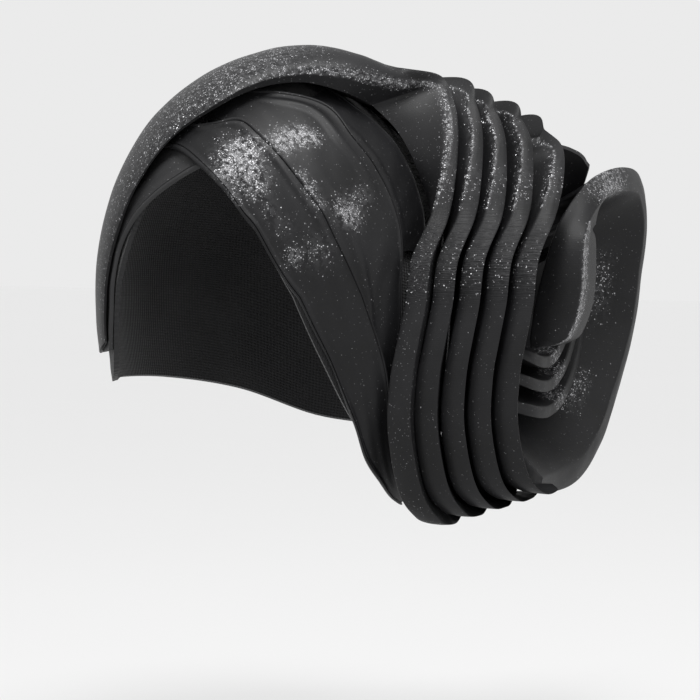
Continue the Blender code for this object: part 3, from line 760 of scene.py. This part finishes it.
def padded_strip(name, node, sections, finish, marks_at, ripple):
    """A padded strip of cloth: its sections joined smoothly, its ends tucked in and closed."""
    rings = smooth_between(sections, STRIP_STEPS)
    count = rings.shape[1]
    middle = rings.mean(axis=1, keepdims=True)
    for row in range(len(rings)):
        for column in range(WALL_POINTS, WALL_POINTS + BAND_POINTS):
            at = Vector((row * 0.16, column * 0.22, 3.7 * len(name)))
            away = unit(rings[row, column] - middle[row, 0])
            rings[row, column] += ripple * noise.noise(at) * away
    ends = []
    for last, inner in ((rings[0], rings[1]), (rings[-1], rings[-2])):
        centre = last.mean(axis=0)
        outward = unit(centre - inner.mean(axis=0))
        ends.append([centre + size * (last - centre) + out * outward for size, out in CLOSED_END])
    rings = np.concatenate([ends[0][::-1], rings, ends[1]])
    along = running_length(rings)
    lap = np.concatenate([rings, rings[:, :1]], axis=1)
    around = running_length(np.swapaxes(lap, 0, 1))
    faces = []
    cloth_at = []
    for row in range(len(rings) - 1):
        for column in range(count):
            corners = [(row, column), (row, column + 1), (row + 1, column + 1), (row + 1, column)]
            faces.append([at_row * count + at_column % count for at_row, at_column in corners])
            cloth_at += [(along[at_row], around[at_column]) for at_row, at_column in corners]
    for row, turn in ((0, True), (len(rings) - 1, False)):
        cap = [row * count + column for column in range(count)]
        faces.append(cap[::-1] if turn else cap)
        cloth_at += [(along[row], around[column]) for column in range(count)]
    marks = {"glitter_and_sheen": [], "gathers": []}
    for row, share_along in enumerate(shares(len(rings))):
        for column in range(count):
            share_band = (column - WALL_POINTS) / (BAND_POINTS - 1)
            glitter_and_sheen, gathers = marks_at(rings[row, column], share_along, share_band)
            marks["glitter_and_sheen"].append(glitter_and_sheen)
            marks["gathers"].append(gathers)
    piece = cloth_mesh(name, rings.reshape(-1, 3), faces, cloth_at, marks, finish)
    volume = 0.0
    for polygon in piece.data.polygons:
        corner = [np.array(piece.data.vertices[index].co) for index in polygon.vertices]
        for second, third in zip(corner[1:], corner[2:]):
            volume += np.dot(corner[0], np.cross(second, third))
    if volume < 0:
        piece.data.flip_normals()
    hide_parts(node)
    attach(piece, "root")


def pleat_marks(place, share_along, share_band):
    """Flakes and gathers on a pleat: a line of thick flakes with a painted sheen on its near edge at the
    top, gathers at the bend.
    """
    height = place[2]
    glitter_and_sheen = PLAIN_DUST
    if -0.2 < share_band < 0.24 and height > -0.060:
        glitter_and_sheen += 0.30 * soft_bump(share_band, 0.1, 0.16)
    if 0.0 <= share_band <= 1.0:
        glitter_and_sheen += 0.050 * soft_bump(height, -0.048, 0.014)
        glitter_and_sheen += 0.040 * soft_bump(height, -0.086, 0.022)
    gathers = 0.9 * soft_bump(height, -0.084, 0.026) + 0.06
    if not 0.0 <= share_band <= 1.0:
        gathers *= 0.3
    return glitter_and_sheen, gathers


def crown_marks(place, share_along, share_band):
    """The crown roll is dusted with flakes all over its top, thicker towards its highest part and the
    wearer's left as a painted highlight where the light from above falls, with a painted sheen; then it is
    a pleat.
    """
    glitter_and_sheen, gathers = pleat_marks(place, share_along, share_band)
    on_crown = max(0.0, min(1.0, (0.040 - place[0]) / 0.020)) if place[2] > -0.17 else 0.0
    glitter_and_sheen *= 1 - on_crown
    if -0.1 <= share_band <= 1.1:
        # Painted highlight: flakes and painted sheen grow towards the top and the wearer's left, where the
        # top light falls.
        top = max(0.0, min(1.0, (place[2] + 0.10) / 0.09))
        right = max(0.0, min(1.0, (place[0] + 0.03) / 0.05))
        glitter_and_sheen += on_crown * (0.030 + 0.050 * top + 0.060 * top * right)
    return glitter_and_sheen, gathers


crown_finish = glitter_cloth(
    "crown_satin", (0.007, 0.007, 0.0075, 1.0), (0.012, 0.012, 0.013, 1.0), 0.008)
crown_sections = [halo_section(row) for row in HALO_ROWS]
crown_sections += [fan_section(row, 0, top_weight(index), 0.0) for index, row in enumerate(FAN_ROWS)]
padded_strip("crown_roll", "crown_pleat", crown_sections, crown_finish, crown_marks, 0.00015)

# Side pleats. Four more padded pleats of the same cloth, nested behind the first over the wearer's left
# ear. Each starts as a roll over the crown, stands on edge at the side, and is caught down at its root.
ROLL_HEIGHT = 0.0120
ROLL_FIRST_OVER = 101.0
ROLL_STEP_OVER = 9.5
PLEATS = [
    # name, node, place along the fan, place at the top, rise at the top, last row, width at the last row
    ("second_pleat", "pleat_2", 1, 0.72, -0.07, 16, 1.0),
    ("third_pleat", "pleat_3", 2, 1.40, -0.42, 16, 1.0),
    ("fourth_pleat", "pleat_4", 3, 2.40, -0.80, 15, 1.0),
    ("fifth_pleat", "pleat_5", 4, 4.00, -1.75, 15, 0.5),
]
# The fifth pleat has one more row where it leaves the crown, in the columns of the fan's rows.
FIFTH_PLEAT_START = (30, 110, 1.0, 0.1, 0.4, 0.9, 0.72, 93, 50, 140, 30, 0.0)
FIFTH_PLEAT_START_RISE = -2.0
ROLL_ROWS = [
    # across, width, height
    (-80, 0.90, 0.30),
    (-66, 0.94, 0.50),
    (-40, 0.95, 0.66),
    (-10, 0.92, 0.72),
    (18, 0.88, 0.80),
]


def roll_section(across, first_over, last_over, height, stand=0.0):
    """A roll over the crown, seated on the cap."""
    top = []
    for share in shares(BAND_POINTS):
        over = first_over + share * (last_over - first_over)
        swell = 0.30 + 0.70 * math.sin(math.pi * (0.06 + 0.88 * share)) ** 0.7
        top.append(head_place(across, over, PAD_BASE + ROLL_HEIGHT * (stand + height * swell)))
    bottom = []
    for share in shares(ROOT_POINTS):
        over = first_over + share * (last_over - first_over)
        bottom.append(head_place(across, over, PAD_BASE + ROLL_HEIGHT * stand))
    return padded_ring(top, bottom)


for index, (name, node, along, top_along, top_rise, last_row, last_width) in enumerate(PLEATS):
    first_over = ROLL_FIRST_OVER + index * ROLL_STEP_OVER
    sections = [
        roll_section(across, first_over, first_over + width * ROLL_STEP_OVER, height)
        for across, width, height in ROLL_ROWS]
    if node == "pleat_5":
        sections.append(fan_section(FIFTH_PLEAT_START, top_along, 1.0, FIFTH_PLEAT_START_RISE))
    for row_index, row in enumerate(FAN_ROWS[1:last_row], start=1):
        weight = top_weight(row_index)
        place = along + weight * (top_along - along)
        narrowed = last_width if row_index == last_row - 1 else 1.0
        sections.append(fan_section(row, place, weight, top_rise, narrowed))
    padded_strip(name, node, sections, wrap_finish, pleat_marks, 0.00012)

# Back pleat. The last fold of the gele: a broad padded one laid down over the back of the head, whose end
# is bent out at the wearer's left and shows as a small petal between the pleats and the rosette.
BACK_PLEAT_ROWS = [
    # across, first over, last over, height, stand
    (-80, 141, 180, 0.30, 0.0),
    (-66, 140, 182, 0.50, 0.0),
    (-40, 140, 183, 0.66, 0.0),
    (-10, 141, 183, 0.72, 0.0),
    (14, 143, 173, 0.75, 0.1),
    (34, 151, 162, 0.75, 0.5),
]
BACK_PLEAT_END = [
    # upper out, back, up, lower out, back, up
    (0.112, 0.049, -0.028, 0.098, 0.066, -0.050),
    (0.123, 0.060, -0.030, 0.113, 0.073, -0.056),
    (0.131, 0.066, -0.034, 0.122, 0.077, -0.056),
    (0.134, 0.070, -0.039, 0.127, 0.077, -0.054),
]
BACK_PLEAT_WALL = 0.0045
BACK_PLEAT_EDGE = 0.7
PLAIN_GATHERS = 0.05


def plain_marks(place, share_along, share_band):
    """Only a little dust of flakes."""
    return 0.004, PLAIN_GATHERS


back_sections = [roll_section(*row) for row in BACK_PLEAT_ROWS]
for row in BACK_PLEAT_END:
    upper = rose_place(*row[:3])
    lower = rose_place(*row[3:])
    outward = unit(np.cross(lower - upper, OUT))
    if np.dot(outward, BACK) < 0:
        outward = -outward
    top = []
    for share in shares(BAND_POINTS):
        swell = BACK_PLEAT_EDGE + (1 - BACK_PLEAT_EDGE) * math.sin(math.pi * share)
        top.append(upper + share * (lower - upper) + BACK_PLEAT_WALL * swell * outward)
    bottom = [upper + share * (lower - upper) for share in shares(ROOT_POINTS)]
    back_sections.append(padded_ring(top, bottom))
padded_strip("back_pleat", "pleat_6", back_sections, wrap_finish, plain_marks, 0.0002)

# Outer petal. The loose end of the gele, padded and turned round in a deep cup behind the ear, gathered
# and sewn to the cap at its foot. Its tail turns down into the middle of the cup as a broad tongue.
ROSE_OUT = 0.1200
ROSE_RADIUS = 0.0850
ROSE_CENTRE_BACK = 0.0680
ROSE_CENTRE_UP = -0.1180
PETAL_THICKNESS = 0.0120
TONGUE_DEPTH = 0.0600
GATHER_BACK = 0.0660
GATHER_UP = -0.1180
GATHER_HALF_BACK = 0.0200
GATHER_HALF_UP = 0.0320
GATHER_OFF = PAD_BASE + 0.0026
ROOT_TAPER = 0.22
OUTER_PETAL = [
    # out, back, up, band out/back/up, thickness, gather back, gather up
    (1.02, -0.50, -0.93, 0.1, 0.5, 0.90, 0.7, -0.90, -0.90),
    (1.02, -0.16, -0.96, 0.1, 0.2, 0.95, 0.9, -0.50, -1.10),
    (1.05, 0.22, -0.92, 0.1, -0.2, 0.95, 1.0, 0.10, -1.15),
    (1.08, 0.55, -0.74, 0.1, -0.6, 0.80, 1.0, 0.60, -0.95),
    (1.11, 0.82, -0.42, 0.1, -0.9, 0.40, 1.0, 0.95, -0.55),
    (1.15, 0.97, -0.05, 0.1, -1.0, 0.05, 1.0, 1.10, -0.05),
    (1.18, 1.00, 0.32, 0.1, -1.0, -0.20, 1.0, 1.05, 0.45),
    (1.21, 0.94, 0.63, 0.1, -0.9, -0.50, 1.0, 0.80, 0.85),
    (1.22, 0.70, 0.88, 0.1, -0.5, -0.90, 1.0, 0.40, 1.05),
    (1.21, 0.30, 0.93, 0.2, 0.0, -1.00, 1.0, 0.00, 1.10),
]
TONGUE = [
    # out, back, up, band out/back/up, thickness, wall out/back/up, depth
    (1.15, -0.10, 0.85, 0.7, 0.1, -0.70, 1.0, -0.60, 0.60, -0.50, 0.45),
    (1.09, -0.34, 0.66, 0.9, 0.1, -0.30, 1.1, -0.20, 1.00, -0.20, 0.40),
    (1.05, -0.46, 0.46, 1.0, 0.1, 0.00, 1.4, 0.00, 1.00, 0.00, 0.40),
    (1.01, -0.52, 0.18, 1.0, 0.1, 0.00, 1.8, 0.00, 1.00, 0.00, 0.42),
    (0.99, -0.54, -0.02, 1.0, 0.1, 0.00, 1.6, 0.00, 1.00, 0.00, 0.40),
    (0.99, -0.54, -0.08, 1.0, 0.1, 0.00, 1.1, 0.00, 1.00, 0.00, 0.38),
    (0.99, -0.54, -0.10, 1.0, 0.1, 0.00, 0.5, 0.00, 1.00, 0.00, 0.34),
]


def gather_place(back_share, up_share, off):
    """A place on the head behind the ear, where the petals are gathered and meet the cap."""
    back = GATHER_BACK + back_share * GATHER_HALF_BACK
    up = GATHER_UP + up_share * GATHER_HALF_UP
    reach = HEAD_CROWN_RISE if up > -HEAD_CROWN_RISE else HEAD_LOWER_REACH
    level = (up + HEAD_CROWN_RISE) / (reach + off)
    weights = 1 / np.array([HEAD_HALF_WIDTH + off, HEAD_HALF_DEPTH + off]) ** 2
    square = np.dot(weights, OUT[:2] ** 2)
    cross = back * np.dot(weights, OUT[:2] * BACK[:2])
    rest = back ** 2 * np.dot(weights, BACK[:2] ** 2) + level ** 2 - 1
    out = (-cross + math.sqrt(cross ** 2 - square * rest)) / square
    return rose_place(out, back, up)


def petal_corner(out, back, up):
    """A corner of the outer petal, from its shares of the rosette's size."""
    return rose_place(
        out * ROSE_OUT,
        ROSE_CENTRE_BACK + back * ROSE_RADIUS,
        ROSE_CENTRE_UP + up * ROSE_RADIUS)


def petal_marks(place, share_along, share_band):
    """Flakes on the petals, with a painted sheen where they lie thick: a bright run where the ring turns
    down, beads along the tongue's far edge.
    """
    glitter_and_sheen = PLAIN_DUST
    if -0.1 < share_band < 1.1:
        glitter_and_sheen += 0.30 * soft_bump(share_along, 0.60, 0.06)
    if share_along > 0.68 and 0.75 < share_band < 1.45:
        glitter_and_sheen += 0.40 * soft_bump(share_band, 1.05, 0.25)
    if 0.15 < share_along < 0.52 and share_band > 1.0:
        upper_run = 0.22 * soft_bump(place[2], -0.100, 0.026)
        lower_run = 0.30 * soft_bump(place[2], -0.152, 0.014)
        glitter_and_sheen += soft_bump(share_band, 1.14, 0.08) * (upper_run + lower_run)
    return glitter_and_sheen, PLAIN_GATHERS


petal_sections = []
for out, back, up, band_out, band_back, band_up, thickness, gather_back, gather_up in OUTER_PETAL:
    corner = petal_corner(out, back, up)
    band = unit(rose_place(band_out, band_back, band_up))
    taper = 1 - ROOT_TAPER
    near_root = gather_place(gather_back, gather_up, GATHER_OFF)
    far_root = gather_place(taper * gather_back, taper * gather_up, GATHER_OFF)
    top = rounded_band(corner, thickness * PETAL_THICKNESS, band, near_root, far_root)
    bottom = []
    for share in shares(ROOT_POINTS):
        inward = 1 - ROOT_TAPER * share
        bottom.append(gather_place(inward * gather_back, inward * gather_up, GATHER_OFF))
    petal_sections.append(padded_ring(top, bottom))
for (out, back, up, band_out, band_back, band_up, thickness,
     wall_out, wall_back, wall_up, depth) in TONGUE:
    corner = petal_corner(out, back, up)
    band = unit(rose_place(band_out, band_back, band_up))
    width = thickness * PETAL_THICKNESS
    near_root = corner + depth * TONGUE_DEPTH * unit(rose_place(wall_out, wall_back, wall_up))
    top = rounded_band(corner, width, band, near_root, near_root + width * band)
    bottom = [near_root + share * width * band for share in shares(ROOT_POINTS)]
    petal_sections.append(padded_ring(top, bottom))
padded_strip(
    "outer_petal_and_tongue", "outer_petal", petal_sections, wrap_finish, petal_marks, 0.0003)

# Inner petals. Three narrower folds of the same cloth inside the cup, one within the other under the
# tongue, each a doubled edge gathered at its foot with the outer petal.
INNER_PETAL_OUT = 0.1200
INNER_PETAL_WALL = 0.0060
INNER_CENTRE_BACK = 0.0480
INNER_CENTRE_UP = -0.0980
INNER_ROOT_TAPER = 0.09
INNER_SECTIONS = 12
INNER_END_TUCK = 0.014
INNER_TUCK_FROM = 0.82
INNER_PETALS = [
    # name, node, half length back, half height, first degrees, last degrees, gather share
    ("small_inner_petal", "inner_petal_1", 0.60, 0.47, 32, -134, 0.44),
    ("middle_inner_petal", "inner_petal_2", 0.75, 0.61, 30, -126, 0.58),
    ("large_inner_petal", "inner_petal_3", 0.90, 0.76, 8, -117, 0.73),
]


def inner_marks(place, share_along, share_band):
    """Flakes in short runs along each inner petal's edge, with a painted sheen where they lie thick."""
    glitter_and_sheen = PLAIN_DUST
    if -0.1 < share_band < 1.1:
        glitter_and_sheen += 0.20 * soft_bump(share_along, 0.62, 0.10)
    return glitter_and_sheen, PLAIN_GATHERS


for name, node, reach, height, first, last, gather in INNER_PETALS:
    sections = []
    for turn_share in shares(INNER_SECTIONS):
        angle = math.radians(first + turn_share * (last - first))
        away = unit(rose_place(0.0, math.cos(angle) / reach, math.sin(angle) / height))
        tuck = INNER_END_TUCK * max(0.0, (turn_share - INNER_TUCK_FROM) / (1 - INNER_TUCK_FROM)) ** 2
        rim = rose_place(
            INNER_PETAL_OUT - tuck,
            INNER_CENTRE_BACK + reach * ROSE_RADIUS * math.cos(angle),
            INNER_CENTRE_UP + height * ROSE_RADIUS * math.sin(angle))
        foot = []
        for share in shares(ROOT_POINTS):
            inward = gather - INNER_ROOT_TAPER * share
            foot.append(gather_place(inward * math.cos(angle), inward * math.sin(angle), WRAP_BASE))
        top = rounded_band(rim, INNER_PETAL_WALL, -away, foot[0], foot[-1])
        sections.append(padded_ring(top, foot))
    padded_strip(name, node, sections, wrap_finish, inner_marks, 0.0002)
